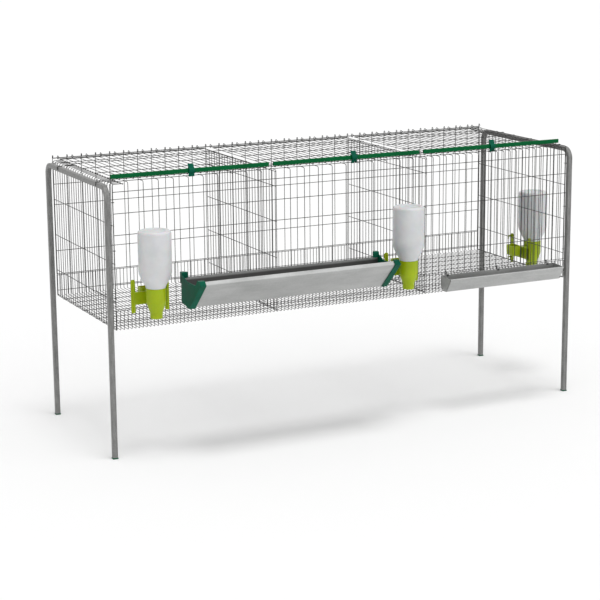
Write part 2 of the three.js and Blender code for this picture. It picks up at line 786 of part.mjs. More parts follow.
function flipped(geometry) {
  const copy = geometry.clone();
  copy.setIndex(Array.from(geometry.index.array).reverse());
  return copy;
}

function bottle() {
  const inner = (r) => r - bottleWall;
  const rest = cupTop + clearance;
  const crownPart = bottleCrown * bottleCrownShare;
  return lathe([
    [0, bottleTop], [bottleRadius - bottleCrown, bottleTop],
    [bottleRadius - crownPart, bottleTop - crownPart], [bottleRadius, bottleTop - bottleCrown],
    [bottleRadius, bottleStraightEnd], [bottleShoulderRadius, bottleShoulderZ],
    [bottleCollarRadius, bottleCollarTop], [bottleCollarRadius, rest], [bottleNeckRadius, rest],
    [bottleNeckRadius, bottleNeckEnd], [inner(bottleNeckRadius), bottleNeckEnd],
    [inner(bottleNeckRadius), bottleCollarTop], [inner(bottleShoulderRadius), bottleShoulderZ],
    [inner(bottleRadius), bottleStraightEnd], [inner(bottleRadius), bottleTop - bottleCrown],
    [bottleRadius - bottleCrown, bottleTop - bottleWall], [0, bottleTop - bottleWall],
  ], bottleSides);
}

function holder(neckShift, legPlaces) {
  const panelY = drinkerReach;
  const plateY = panelY + holderBackY;
  const cupInside = cupRadius - cupWall;
  const footInside = cupFootRadius - cupWall;
  const floorPart = (cupFloor - cupTaperEnd) / (cupStraightEnd - cupTaperEnd);
  const outerCup = lathe([
    [0, cupBottom], [cupFootRadius, cupBottom], [cupFootRadius, cupTaperEnd],
    [cupRadius, cupStraightEnd], [cupRadius, cupTop], [0, cupTop],
  ], cupSides);
  const cupHollow = lathe([
    [0, cupFloor], [footInside + (cupInside - footInside) * floorPart, cupFloor],
    [cupInside, cupStraightEnd], [cupInside, cupTop + overrun], [0, cupTop + overrun],
  ], cupSides);
  const solids = [outerCup];
  solids.push(box(-plateSpan / 2, plateSpan / 2, plateY - plateWall, plateY, plateBottom, plateTop));
  solids.push(box(
    -plateSpan / 2, plateSpan / 2, plateY - plateFlange, plateY, plateTop - plateWall, plateTop,
  ));
  solids.push(box(-armWidth / 2, armWidth / 2, 0, plateY, armBottom, plateTop));
  const neckY = panelY + innerCupGap + innerCupWall;
  solids.push(box(
    neckShift - neckWidth / 2, neckShift + neckWidth / 2, plateY - plateWall, neckY,
    neckBottom, plateTop,
  ));
  const cupX0 = neckShift - innerCupWidth / 2;
  const cupX1 = neckShift + innerCupWidth / 2;
  const innerY0 = panelY + innerCupGap;
  const innerY1 = innerY0 + innerCupDepth;
  solids.push(box(cupX0, cupX1, innerY0, innerY1, innerCupBottom, innerCupTop));
  [-1, 1].forEach((side, i) => {
    const barX = (side * plateSpan) / 2;
    const x0 = barX - barWidth / 2;
    const x1 = barX + barWidth / 2;
    solids.push(box(x0, x1, plateY - plateWall, plateY, barBottom, barTop));
    const ribX = barX - plateWall / 2;
    solids.push(box(
      ribX, ribX + plateWall, plateY - plateWall - barRib, plateY, barBottom, barTop,
    ));
    const legX0 = legPlaces[i] - hookLegWidth / 2;
    const legX1 = legX0 + hookLegWidth;
    for (const row of [frontRows[0], frontRows[1]]) {
      const top = row + panelWire + clearance;
      const legY = plateY + hookReach;
      solids.push(box(legX0, legX1, plateY - plateWall, legY + hookLegWall, top, top + hookCap));
      solids.push(box(legX0, legX1, legY, legY + hookLegWall, top - hookLegLength, top + hookCap));
    }
  });
  const innerHollow = box(
    cupX0 + innerCupWall, cupX1 - innerCupWall, innerY0 + innerCupWall, innerY1 - innerCupWall,
    innerCupBottom + innerCupWall, innerCupTop + overrun,
  );
  const channel = box(
    neckShift - neckWidth / 2 + neckWall, neckShift + neckWidth / 2 - neckWall, 0, innerY0 + overrun,
    neckBottom + neckWall, plateTop + overrun,
  );
  return join(solids).subtract(join([cupHollow, innerHollow, channel]));
}

// The holder's neck and hooks pass between the panel's uprights, which start at first on this axis
function placeDrinker(name, position, turn, along, pitch, first) {
  const clear = (shift, half) => besideUpright(along + shift, half, pitch, first) - along;
  const neckShift = clear(0, neckWidth / 2);
  const legPlaces = [-plateSpan / 2, plateSpan / 2].map((shift) => clear(shift, hookLegWidth / 2));
  const matrix = new THREE.Matrix4().makeRotationZ(turn);
  matrix.setPosition(position);
  const place = (body) => {
    const geometry = geometryOf(body);
    geometry.applyMatrix4(matrix);
    return solid(geometry);
  };
  add(`bottle_${name}`, place(bottle()), "bottle");
  add(`holder_${name}`, place(holder(neckShift, legPlaces)), "lime");
}

const sideDrinkerY = cageDepth * sideDrinkerShare;
const sideDrinkerDrop = frontRows[1] - endRows[0];
placeDrinker("left", v(leftDrinkerX, -drinkerReach, 0), 0, leftDrinkerX, coarseStep, 0);
placeDrinker("middle", v(middleDrinkerX, -drinkerReach, 0), 0, middleDrinkerX, coarseStep, 0);
placeDrinker(
  "right", v(cageLength + drinkerReach, sideDrinkerY, -sideDrinkerDrop), Math.PI / 2,
  sideDrinkerY, endPitch, endFrontY,
);

// Corner rings: open wire rings round the two uprights that meet at each corner
function cornerRing(x, y, z, openAngle) {
  const inside = panelWire + (cornerOffset + borderShift) / 2 + clearance;
  const half = Math.PI / curlSides;
  const reach = (inside + ringWire) / Math.cos(half);
  const end = radians(ringEnd);
  const points = [];
  for (let angle = -end; angle <= end + half / 2; angle += 2 * half) {
    const turned = openAngle + Math.PI + angle;
    points.push(v(x + reach * Math.cos(turned), y + reach * Math.sin(turned), z));
  }
  return wire(points, ringWire, v(0, 0, 1));
}
const cornerFrontY = (endFrontY - borderShift) / 2;
ringHeights.forEach((z, i) => {
  const level = ["low", "middle", "high"][i];
  const rightX = cageLength - borderShift / 2;
  add(`ring_front_left_${level}`, cornerRing(borderShift / 2, cornerFrontY, z, 0), "galvanised");
  add(`ring_front_right_${level}`, cornerRing(rightX, cornerFrontY, z, Math.PI), "galvanised");
});

part.updateMatrixWorld(true);
const bounds = new THREE.Box3().setFromObject(part, true);
cage.position.set(
  -(bounds.min.x + bounds.max.x) / 2, -(bounds.min.y + bounds.max.y) / 2, -bounds.min.z,
);
part.updateMatrixWorld(true);

export default part;
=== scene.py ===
import math

import bmesh
import bpy
import numpy as np
from mathutils import Matrix, Vector


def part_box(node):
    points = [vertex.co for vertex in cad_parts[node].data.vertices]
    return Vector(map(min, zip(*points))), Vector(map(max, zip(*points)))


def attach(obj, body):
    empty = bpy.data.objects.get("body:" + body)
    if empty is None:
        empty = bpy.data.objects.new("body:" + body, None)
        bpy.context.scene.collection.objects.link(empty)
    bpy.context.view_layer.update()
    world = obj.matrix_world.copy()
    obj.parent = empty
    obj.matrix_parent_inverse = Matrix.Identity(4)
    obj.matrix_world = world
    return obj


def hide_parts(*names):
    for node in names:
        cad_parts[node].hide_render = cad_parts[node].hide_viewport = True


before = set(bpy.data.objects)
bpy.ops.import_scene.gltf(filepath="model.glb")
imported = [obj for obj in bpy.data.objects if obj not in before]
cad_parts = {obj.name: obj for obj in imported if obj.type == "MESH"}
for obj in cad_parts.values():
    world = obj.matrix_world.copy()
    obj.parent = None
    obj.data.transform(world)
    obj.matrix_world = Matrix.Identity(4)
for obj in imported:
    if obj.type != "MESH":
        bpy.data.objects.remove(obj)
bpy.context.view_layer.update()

# The cage's own axes, in mm: X from its left end, Y from the front panel, Z from the floor wires.
# The boxes of the frame's nodes say where that corner lies in the row frame.
cage = dict(
    compartment=550.0, count=3, depth=562.5, coarse=50.0, middle=25.0, fine=22.5, floorPitch=12.5,
    wire=1.1, floorWire=1.0, rail=1.5, layer=1.85, floorLayer=1.7,
    panelEdge=1.25, rowBehind=4.05, floorLevel=413.0, gap=0.3, weld=1.5, weldFlat=1.0,
)
cageLength = cage["compartment"] * cage["count"]
frontLow = np.array(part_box("front_panel")[0])
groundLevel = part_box("foot_plug_front_left")[0][2]
cageOrigin = np.array([
    frontLow[0] + cage["panelEdge"] / 1000,
    frontLow[1] + cage["rowBehind"] / 1000,
    groundLevel + cage["floorLevel"] / 1000,
])

# Shader helpers: an expression on sockets adds its own Math nodes, also with a number on the left
class Value:
    def __init__(self, maker, socket):
        self.maker = maker
        self.socket = socket

    def maths(self, operation, other, swap=False):
        first, second = (other, self) if swap else (self, other)
        return self.maker.node("ShaderNodeMath", dict(operation=operation), {0: first, 1: second})

    def __add__(self, other): return self.maths("ADD", other)
    def __radd__(self, other): return self.maths("ADD", other)
    def __sub__(self, other): return self.maths("SUBTRACT", other)
    def __rsub__(self, other): return self.maths("SUBTRACT", other, swap=True)
    def __mul__(self, other): return self.maths("MULTIPLY", other)
    def __rmul__(self, other): return self.maths("MULTIPLY", other)


# A node tree and the one method that adds a node to it
class Nodes:
    def __init__(self, tree):
        self.tree = tree

    def node(self, kind, settings=None, inputs=None, output=0):
        made = self.tree.nodes.new(kind)
        for key, value in (settings or {}).items():
            setattr(made, key, value)
        for key, value in (inputs or {}).items():
            self.feed(made.inputs[key], value)
        return Value(self, made.outputs[output])

    def feed(self, socket, value):
        if isinstance(value, Value):
            self.tree.links.new(value.socket, socket)
        elif hasattr(value, "__len__") and len(value) == 3 and socket.type == "RGBA":
            socket.default_value = (*value, 1)
        else:
            socket.default_value = value


# A material for one finish
class Finish(Nodes):
    def __init__(self, name):
        self.material = bpy.data.materials.new(name)
        self.material.use_nodes = True
        super().__init__(self.material.node_tree)
        self.shader = self.tree.nodes["Principled BSDF"]

    def set(self, **sockets):  # values or links on the shader's own sockets
        for key, value in sockets.items():
            self.feed(self.shader.inputs[socketNames[key]], value)
        return self

    def place(self):  # where a point lies in the piece's own coordinates
        return self.node("ShaderNodeTexCoord", output="Object")

    def stretched(self, scale):  # the same, drawn out along the axes whose scale is small
        return self.node("ShaderNodeMapping", None, {"Vector": self.place(), "Scale": scale})

    def noise(self, scale, detail=3.0, rough=0.55, vector=None):
        return self.node("ShaderNodeTexNoise", None, {
            "Vector": vector or self.place(), "Scale": scale, "Detail": detail, "Roughness": rough,
        }, output="Fac")

    def blend(self, factor, first, second):  # two colours mixed by a factor
        return self.node("ShaderNodeMix", dict(data_type="RGBA"), {0: factor, 6: first, 7: second}, output=2)

    def span(self, factor, low, high):  # a noise's usual range spread from low to high
        return self.node("ShaderNodeMapRange", None, {
            "Value": factor, "From Min": noiseRange["low"], "From Max": noiseRange["high"],
            "To Min": low, "To Max": high,
        })

    def bump(self, height, strength, distance):  # a height turned into a tilted normal
        return self.node("ShaderNodeBump", None, {"Height": height, "Strength": strength, "Distance": distance})


socketNames = dict(
    colour="Base Color", rough="Roughness", metal="Metallic", normal="Normal", specular="Specular IOR Level",
    scatter="Subsurface Weight", scatterReach="Subsurface Scale",
)

# The range that a noise mostly keeps to, and the angles in degrees up to which shading stays smooth, from which
# an edge is rounded, and within which triangles count as one flat face
noiseRange = dict(low=0.3, high=0.7)
angles = dict(wire=35, sheet=25, tube=50, bottle=60, edge=30, flat=1)


# Mesh helpers. Points are cage millimetres; place() turns them into the row frame's metres.
def place(points):
    return np.asarray(points, float) / 1000 + cageOrigin


# One mesh from arrays of points and of faces with 3, 4 or more corners, all in one pass
def addPiece(name, points, faces, finish, body, slot, nodes, smoothAngle=angles["wire"], bevel=0.0, inside=None):
    mesh = bpy.data.meshes.new(name)
    corners = np.concatenate([np.asarray(group, int).ravel() for group in faces])
    sizes = np.concatenate([np.full(len(group), len(group[0])) for group in faces])
    starts = np.concatenate([[0], np.cumsum(sizes)[:-1]])
    mesh.vertices.add(len(points))
    mesh.vertices.foreach_set("co", place(points).ravel())
    mesh.loops.add(len(corners))
    mesh.loops.foreach_set("vertex_index", corners)
    mesh.polygons.add(len(sizes))
    mesh.polygons.foreach_set("loop_start", starts)
    mesh.polygons.foreach_set("loop_total", sizes)
    mesh.update(calc_edges=True)
    # The point attribute inside holds how strongly painted shade darkens the colour at each point
    if inside is not None:
        mesh.attributes.new("inside", "FLOAT", "POINT").data.foreach_set("value", np.asarray(inside, float))
    mesh.validate()
    return finishPiece(mesh, name, finish, body, nodes, smoothAngle, bevel)


# Smooth shading up to an angle, a rounding of the edges, and what the piece rides on and stands for
def finishPiece(mesh, name, finish, body, nodes, smoothAngle, bevel):
    mesh.polygons.foreach_set("use_smooth", np.ones(len(mesh.polygons), bool))
    mesh.set_sharp_from_angle(angle=math.radians(smoothAngle))
    piece = bpy.data.objects.new(name, mesh)
    bpy.context.scene.collection.objects.link(piece)
    mesh.materials.clear()
    mesh.materials.append(finish.material)
    if bevel:
        modifier = piece.modifiers.new("softEdges", "BEVEL")
        modifier.width = bevel / 1000
        modifier.segments = 2
        modifier.limit_method = "ANGLE"
        modifier.angle_limit = math.radians(angles["edge"])
        modifier.harden_normals = True
    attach(piece, body)
    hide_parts(*nodes)
    return piece


# A moulding taken over from its CAD node: a copy with the triangles merged into flat faces and its edges rounded
def softCopy(name, finish, body, node, bevel):
    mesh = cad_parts[node].data.copy()
    mesh.name = name
    shape = bmesh.new()
    shape.from_mesh(mesh)
    bmesh.ops.remove_doubles(shape, verts=shape.verts, dist=1e-6)
    bmesh.ops.dissolve_limit(shape, angle_limit=math.radians(angles["flat"]), verts=shape.verts, edges=shape.edges)
    shape.to_mesh(mesh)
    shape.free()
    return finishPiece(mesh, name, finish, body, [node], angles["wire"], bevel)


# Points evenly round a circle
def circleSection(radius, sides=8):
    turn = np.arange(sides) * 2 * np.pi / sides
    return np.stack([radius * np.cos(turn), radius * np.sin(turn)], -1)


# A square whose corners are quarter circles
def roundedSquare(half, radius, steps=4):
    turn = np.linspace(0, np.pi / 2, steps + 1)
    corner = np.stack([np.cos(turn), np.sin(turn)], -1) * radius + (half - radius)
    spin = np.array([[0, 1], [-1, 0]])
    return np.concatenate([corner @ np.linalg.matrix_power(spin, k) for k in range(4)])


# A closed section [across, along the normal] carried along paths of shape (count, steps, 3):
# at each step it stands square to the mean of the two legs and widens by one over the cosine of half the bend
def carry(section, paths, normal):
    section = np.asarray(section, float)
    paths = np.asarray(paths, float)
    if paths.ndim == 2:
        paths = paths[None]
    count, steps, _ = paths.shape
    sides = len(section)
    normal = np.asarray(normal, float)
    leg = np.diff(paths, axis=1)
    leg /= np.linalg.norm(leg, axis=2, keepdims=True)
    before = np.concatenate([leg[:, :1], leg], 1)
    after = np.concatenate([leg, leg[:, -1:]], 1)
    along = before + after
    along /= np.linalg.norm(along, axis=2, keepdims=True)
    stretch = 1 / np.sum(along * after, axis=2, keepdims=True)
    across = np.cross(along, normal)
    across /= np.linalg.norm(across, axis=2, keepdims=True)
    points = (
        paths[:, :, None] + (across * stretch)[:, :, None] * section[:, 0, None]
        + normal * section[:, 1, None]
    )
    i, j = np.meshgrid(np.arange(steps - 1), np.arange(sides), indexing="ij")
    a = (i * sides + j).ravel()
    b = (i * sides + (j + 1) % sides).ravel()
    quads = np.stack([a, b, b + sides, a + sides], -1)
    shift = (np.arange(count) * steps * sides)[:, None, None]
    quads = (quads[None] + shift).reshape(-1, 4)
    first = np.arange(sides)[::-1][None, None] + shift
    last = np.arange(sides)[None, None] + (steps - 1) * sides + shift
    ends = np.concatenate([first, last], 0).reshape(-1, sides)
    if signedArea(section) > 0:
        quads, ends = quads[:, ::-1], ends[:, ::-1]
    return points.reshape(-1, 3), [quads, ends]


# Half the sum of the cross products of an outline's neighbouring points
def signedArea(outline):
    x, y = np.asarray(outline, float).T
    return np.sum(x * np.roll(y, -1) - np.roll(x, -1) * y) / 2


# Several (points, faces) pairs as one, with each pair's face numbers moved past the points before it
def merge(parts):
    points, groups, offset = [], {}, 0
    for partPoints, faces in parts:
        for group in faces:
            groups.setdefault(group.shape[1], []).append(group + offset)
        points.append(partPoints)
        offset += len(partPoints)
    return np.concatenate(points), [np.concatenate(groups[size]) for size in sorted(groups)]


# A line of points with each inner corner turned through an arc of that radius
def rounded(points, radius, steps=4):
    points = [np.asarray(p, float) for p in points]
    line = [points[0]]
    for before, corner, after in zip(points, points[1:], points[2:]):
        a = (before - corner) / np.linalg.norm(before - corner)
        b = (after - corner) / np.linalg.norm(after - corner)
        half = math.acos(np.clip(a @ b, -1, 1)) / 2
        reach = radius / math.tan(half)
        middle = corner + (a + b) / np.linalg.norm(a + b) * radius / math.sin(half)
        start, end = corner + a * reach - middle, corner + b * reach - middle
        turn = math.pi - 2 * half
        t = np.linspace(0, 1, steps + 1)[:, None]
        line.extend(middle + (np.sin((1 - t) * turn) * start + np.sin(t * turn) * end) / math.sin(turn))
    line.append(points[-1])
    return np.array(line)


# An outline whose corners are all arcs: the line is closed on the middle of its first edge
def roundedOutline(points, radius, steps=3):
    points = [np.asarray(p, float) for p in points]
    middle = (points[0] + points[-1]) / 2
    return rounded([middle, *points, middle], radius, steps)[:-1]


# Points beside a line of [y, z] points: each moves along the mean of its two edges' normals
def beside(line, distance):
    leg = np.diff(line, axis=0)
    leg /= np.linalg.norm(leg, axis=1, keepdims=True)
    before = np.concatenate([leg[:1], leg])
    after = np.concatenate([leg, leg[-1:]])
    along = before + after
    along /= np.linalg.norm(along, axis=1, keepdims=True)
    stretch = distance / np.sum(along * after, axis=1, keepdims=True)
    return line + np.stack([-along[:, 1], along[:, 0]], -1) * stretch


# A corner-cut copy of a line: each round puts two points at the quarters of every edge and keeps both ends
def softened(line, rounds=3):
    line = np.asarray(line, float)
    for _ in range(rounds):
        near = line[:-1] * 0.75 + line[1:] * 0.25
        far = line[:-1] * 0.25 + line[1:] * 0.75
        line = np.concatenate([line[:1], np.stack([near, far], 1).reshape(-1, line.shape[1]), line[-1:]])
    return line


# The same bent wire at each offset
def wires(path, offsets, radius, normal, sides=8):
    path = np.asarray(path, float)
    return carry(circleSection(radius, sides), path[None] + np.asarray(offsets, float)[:, None], normal)


# Straight wires along X at each [y, z]
def alongX(x0, x1, places, radius):
    places = np.asarray(places, float)
    ends = np.array([[x0, 0, 0], [x1, 0, 0]], float)
    offsets = np.concatenate([np.zeros((len(places), 1)), places], 1)
    return wires(ends, offsets, radius, (0, 0, 1))


# Values as offsets along one axis
def shift(values, axis):
    out = np.zeros((len(values), 3))
    out[:, axis] = values
    return out


# A weld's half sizes along X, Y and Z: flat along the axis that crosses both wires
def weldSize(axis, wide=cage["weld"], flat=cage["weldFlat"]):
    return [flat if k == axis else wide for k in range(3)]


# A small lump of metal at each crossing: an octahedron, shaded smooth
def welds(crossings, size):
    unit = np.array([[1, 0, 0], [0, 1, 0], [0, 0, 1], [-1, 0, 0], [0, -1, 0], [0, 0, -1]], float)
    triangles = np.array([[0, 1, 2], [1, 3, 2], [3, 4, 2], [4, 0, 2], [1, 0, 5], [3, 1, 5], [4, 3, 5], [0, 4, 5]])
    crossings = np.asarray(crossings, float)
    points = crossings[:, None] + unit * size
    faces = triangles[None] + (np.arange(len(crossings)) * 6)[:, None, None]
    return points.reshape(-1, 3), [faces.reshape(-1, 3)]


# Every crossing of three lists of places
def crossGrid(xs, ys, zs):
    return np.stack(np.meshgrid(xs, ys, zs, indexing="ij"), -1).reshape(-1, 3)


# A profile [radius, z] turned about a vertical axis. It starts and ends on the axis, and a fan closes each pole.
def lathe(profile, centre, sides=64):
    profile = np.asarray(profile, float)
    turn = np.arange(sides) * 2 * np.pi / sides
    ring = np.stack([np.cos(turn), np.sin(turn)], -1)
    rows = profile[1:-1]
    grid = np.concatenate([rows[:, None, :1] * ring[None], np.repeat(rows[:, None, 1:], sides, 1)], 2)
    poles = np.array([[0, 0, profile[0, 1]], [0, 0, profile[-1, 1]]])
    points = np.concatenate([grid.reshape(-1, 3), poles]) + np.asarray(centre, float)
    i, j = np.meshgrid(np.arange(len(rows) - 1), np.arange(sides), indexing="ij")
    a = (i * sides + j).ravel()
    b = (i * sides + (j + 1) % sides).ravel()
    quads = np.stack([a, b, b + sides, a + sides], -1)
    around = np.arange(sides)
    after = (around + 1) % sides
    last = (len(rows) - 1) * sides
    top, bottom = len(rows) * sides, len(rows) * sides + 1
    fans = np.concatenate([
        np.stack([after, around, np.full(sides, top)], -1),
        np.stack([around + last, after + last, np.full(sides, bottom)], -1),
    ])
    if signedArea(profile) < 0:
        quads, fans = quads[:, ::-1], fans[:, ::-1]
    return points, [quads, fans]


# An outline carried along one axis; its points hold the other two axes in X, Y, Z order
def prism(outline, start, end, axis=0):
    outline = np.asarray(outline, float)
    if (signedArea(outline) < 0) != (axis == 1):
        outline = outline[::-1]
    count = len(outline)
    near = np.insert(outline, axis, start, axis=1)
    far = np.insert(outline, axis, end, axis=1)
    a = np.arange(count)
    b = (a + 1) % count
    sides = np.stack([a, b, b + count, a + count], -1)
    ends = np.stack([a[::-1], a + count])
    return np.concatenate([near, far]), [sides, ends]


# A closed box between its lowest and highest sides
def boxPart(x0, x1, y0, y1, z0, z1):
    return prism([(y0, z0), (y1, z0), (y1, z1), (y0, z1)], x0, x1)


# Rounded rectangles stacked at rising heights, joined into one closed form.
# Each level is (height, half width, half depth, corner radius).
def stack(levels, centre, steps=4):
    turn = np.linspace(0, np.pi / 2, steps + 1)
    arc = np.stack([np.cos(turn), np.sin(turn)], -1)
    corner = np.concatenate([arc, arc[::-1] * (-1, 1), -arc, arc[::-1] * (1, -1)])
    sign = np.repeat([(1, 1), (-1, 1), (-1, -1), (1, -1)], steps + 1, axis=0)
    heights, halfX, halfY, radius = np.asarray(levels, float).T[:, :, None]
    half = np.concatenate([halfX, halfY], 1)[:, None]
    ring = sign * (half - radius[:, None]) + corner * radius[:, None]
    sides = len(corner)
    points = np.concatenate([ring, np.repeat(heights[:, None], sides, 1)], 2).reshape(-1, 3)
    i, j = np.meshgrid(np.arange(len(levels) - 1), np.arange(sides), indexing="ij")
    a = (i * sides + j).ravel()
    b = (i * sides + (j + 1) % sides).ravel()
    quads = np.stack([a, b, b + sides, a + sides], -1)
    last = (len(levels) - 1) * sides
    ends = np.stack([np.arange(sides)[::-1], np.arange(sides) + last])
    return points + np.asarray(centre, float), [quads, ends]


# A part turned about the vertical axis and moved to a centre
def turned(part, angle, centre):
    points, faces = part
    c, s = math.cos(angle), math.sin(angle)
    turn = np.array([[c, -s, 0], [s, c, 0], [0, 0, 1]])
    return points @ turn.T + np.asarray(centre, float), faces


# A place moved just clear of the nearest upright, for something that passes between two of them
def besideUpright(place, half, pitch, first=0.0):
    upright = first + round((place - first) / pitch) * pitch
    room = half + cage["panelEdge"] + cage["gap"]
    if abs(place - upright) >= room:
        return place
    return upright - room if place < upright else upright + room


# Wire: clouds mix a dark and a light zinc, and a fine grain roughens it
def galvanisedWire():
    look = dict(dark=(0.018, 0.018, 0.017), light=(0.075, 0.074, 0.072), metal=0.4, specular=0.3,
                cloud=140, grain=900, rough=(0.34, 0.56), bump=(0.2, 0.0002))
    finish = Finish("galvanisedWire")
    cloud = finish.noise(look["cloud"], 4)
    grain = finish.noise(look["grain"], 2)
    finish.set(
        colour=finish.blend(finish.span(cloud, 0, 1), look["dark"], look["light"]),
        metal=look["metal"], rough=finish.span(grain, *look["rough"]),
        normal=finish.bump(grain, *look["bump"]), specular=look["specular"],
    )
    return finish


# Tube: streaks that run along the legs, with spangle
def galvanisedTube():
    look = dict(dark=(0.11, 0.11, 0.108), light=(0.29, 0.29, 0.285), metal=0.3, specular=0.3,
                flow=14, stretch=(9, 9, 1.6), spangle=260, shares=(0.6, 0.4), rough=(0.36, 0.52), bump=(0.12, 0.0004))
    finish = Finish("galvanisedTube")
    flow = finish.noise(look["flow"], 5, 0.6, finish.stretched(look["stretch"]))
    spangle = finish.noise(look["spangle"], 3, 0.7)
    mix = flow * look["shares"][0] + spangle * look["shares"][1]
    finish.set(
        colour=finish.blend(finish.span(mix, 0, 1), look["dark"], look["light"]),
        metal=look["metal"], rough=finish.span(flow, *look["rough"]),
        normal=finish.bump(spangle, *look["bump"]), specular=look["specular"],
    )
    return finish


# Sheet: clouds, rolling lines and spangle, and painted shade wherever the point attribute inside is up: a near-black
# that darkens the troughs' interiors as if in shadow
def galvanisedSheet():
    look = dict(dark=(0.33, 0.335, 0.33), light=(0.5, 0.505, 0.5), paintedShadeColour=(0.062, 0.06, 0.058), metal=0.5,
                specular=0.3, cloud=9, cloudStretch=(1, 2.2, 2.2), rolled=8, rolledStretch=(1, 22, 22), spangle=160,
                shares=(0.6, 0.15, 0.25), rough=(0.3, 0.44), bump=(0.06, 0.0006))
    finish = Finish("galvanisedSheet")
    cloud = finish.noise(look["cloud"], 4, 0.55, finish.stretched(look["cloudStretch"]))
    rolled = finish.noise(look["rolled"], 3, 0.5, finish.stretched(look["rolledStretch"]))
    spangle = finish.noise(look["spangle"], 3, 0.6)
    mix = cloud * look["shares"][0] + rolled * look["shares"][1] + spangle * look["shares"][2]
    bright = finish.blend(finish.span(mix, 0, 1), look["dark"], look["light"])
    # Painted shade: the colour is pulled towards a near-black by the attribute inside
    inside = finish.node("ShaderNodeAttribute", dict(attribute_name="inside"), output="Fac")
    finish.set(
        colour=finish.blend(inside, bright, look["paintedShadeColour"]),
        metal=look["metal"], rough=finish.span(cloud, *look["rough"]),
        normal=finish.bump(rolled, *look["bump"]), specular=look["specular"],
    )
    return finish


# Plastic: slow clouds in colour and gloss over a very fine grain
moulding = dict(cloud=22, grain=1400, bump=(0.06, 0.00015), scatterReach=0.01)


def mouldedPlastic(name, dark, light, rough, specular, scatter=0.0):
    finish = Finish(name)
    cloud = finish.noise(moulding["cloud"], 3)
    grain = finish.noise(moulding["grain"], 2)
    finish.set(
        colour=finish.blend(finish.span(cloud, 0, 1), dark, light),
        rough=finish.span(cloud, *rough), normal=finish.bump(grain, *moulding["bump"]),
        scatter=scatter, scatterReach=moulding["scatterReach"], specular=specular,
    )
    return finish


wireFinish = galvanisedWire()
tubeFinish = galvanisedTube()
sheetFinish = galvanisedSheet()

# Each plastic's two colours, its roughness at one and at the other, and how much light its skin scatters
plastics = dict(
    stripGreen=dict(dark=(0.0, 0.09, 0.024), light=(0.0005, 0.115, 0.033), rough=(0.34, 0.46), specular=0.06),
    capGreen=dict(dark=(0.001, 0.07, 0.04), light=(0.003, 0.11, 0.063), rough=(0.34, 0.46), specular=0.06),
    limePlastic=dict(dark=(0.3, 0.4, 0.003), light=(0.36, 0.47, 0.006), rough=(0.3, 0.4), specular=0.25, scatter=0.1),
    milkyPlastic=dict(dark=(0.58, 0.59, 0.6), light=(0.65, 0.66, 0.67), rough=(0.28, 0.38), specular=0.35,
                      scatter=0.3),
    footGreen=dict(dark=(0.004, 0.07, 0.035), light=(0.01, 0.1, 0.05), rough=(0.5, 0.62), specular=0.15),
)
stripGreen, capGreen, limePlastic, milkyPlastic, footGreen = (
    mouldedPlastic(name, **look) for name, look in plastics.items()
)
print("finishes made")

# Front panel: uprights bent back into a ledge, with rows outside
frontPanel = dict(rows=(66, 144, 298, 365, 432), ledge=459.5, ledgeDepth=40, bend=6)
twoCompartments = cage["compartment"] * (cage["count"] - 1)
frontPlaces = np.concatenate([
    np.arange(0, twoCompartments + 1, cage["coarse"]),
    np.arange(twoCompartments + cage["middle"], cageLength + 1, cage["middle"]),
])


def makeFrontPanel():
    p, r = frontPanel, cage["wire"]
    path = rounded([(0, 0, p["rows"][0] - r), (0, 0, p["ledge"]), (0, p["ledgeDepth"] + r, p["ledge"])], p["bend"])
    rowY = -cage["layer"]
    parts = [
        wires(path, shift(frontPlaces, 0), r, (1, 0, 0)),
        alongX(-r, cageLength + r, [(rowY, z) for z in p["rows"]], r),
        alongX(-r, cageLength + r, [(p["ledgeDepth"], p["ledge"] - cage["layer"])], r),
        welds(crossGrid(frontPlaces, [rowY / 2], p["rows"]), weldSize(1)),
        welds(crossGrid(frontPlaces, [p["ledgeDepth"]], [p["ledge"] - cage["layer"] / 2]), weldSize(2)),
    ]
    addPiece("frontPanelWires", *merge(parts), wireFinish, "cage", "wire", ["front_panel"])


# Rear panel: rows inside, uprights outside that end in hooks over the hinge rail
rearPanel = dict(rows=(73, 152, 308, 377, 447), railZ=464.07, uprightY=565.13, hookRise=9, hookFront=4, hookEnd=1,
                 hookBend=3.1)


def makeRearPanel():
    p, r = rearPanel, cage["wire"]
    places = np.arange(0, cageLength + 1, cage["coarse"])
    rowY = p["uprightY"] - cage["layer"]
    hookY, hookTop = cage["depth"] - p["hookFront"], p["railZ"] + p["hookRise"]
    path = rounded([(0, p["uprightY"], p["rows"][0] - r), (0, p["uprightY"], hookTop), (0, hookY, hookTop),
                    (0, hookY, p["railZ"] + p["hookEnd"])], p["hookBend"])
    parts = [
        wires(path, shift(places, 0), r, (1, 0, 0)),
        alongX(-r, cageLength + r, [(rowY, z) for z in p["rows"]], r),
        alongX(-r, cageLength + r, [(cage["depth"], p["railZ"])], cage["rail"]),
        welds(crossGrid(places, [(rowY + p["uprightY"]) / 2], p["rows"]), weldSize(1)),
    ]
    addPiece("rearPanelWires", *merge(parts), wireFinish, "cage", "wire", ["rear_panel"])


# End panels and dividers: fine uprights, few rows
endPanel = dict(rows=(87, 207, 326), bottom=2.67, lipZ=455.55, lipDepth=35, first=2.8, last=559.53,
                hooks=(74.02, 436), hookDrop=13, hookOut=27.55, hookBend=3.2, bend=6, count=26)
divider = dict(rows=(59, 175, 292, 406), top=453.5, first=8, last=555)


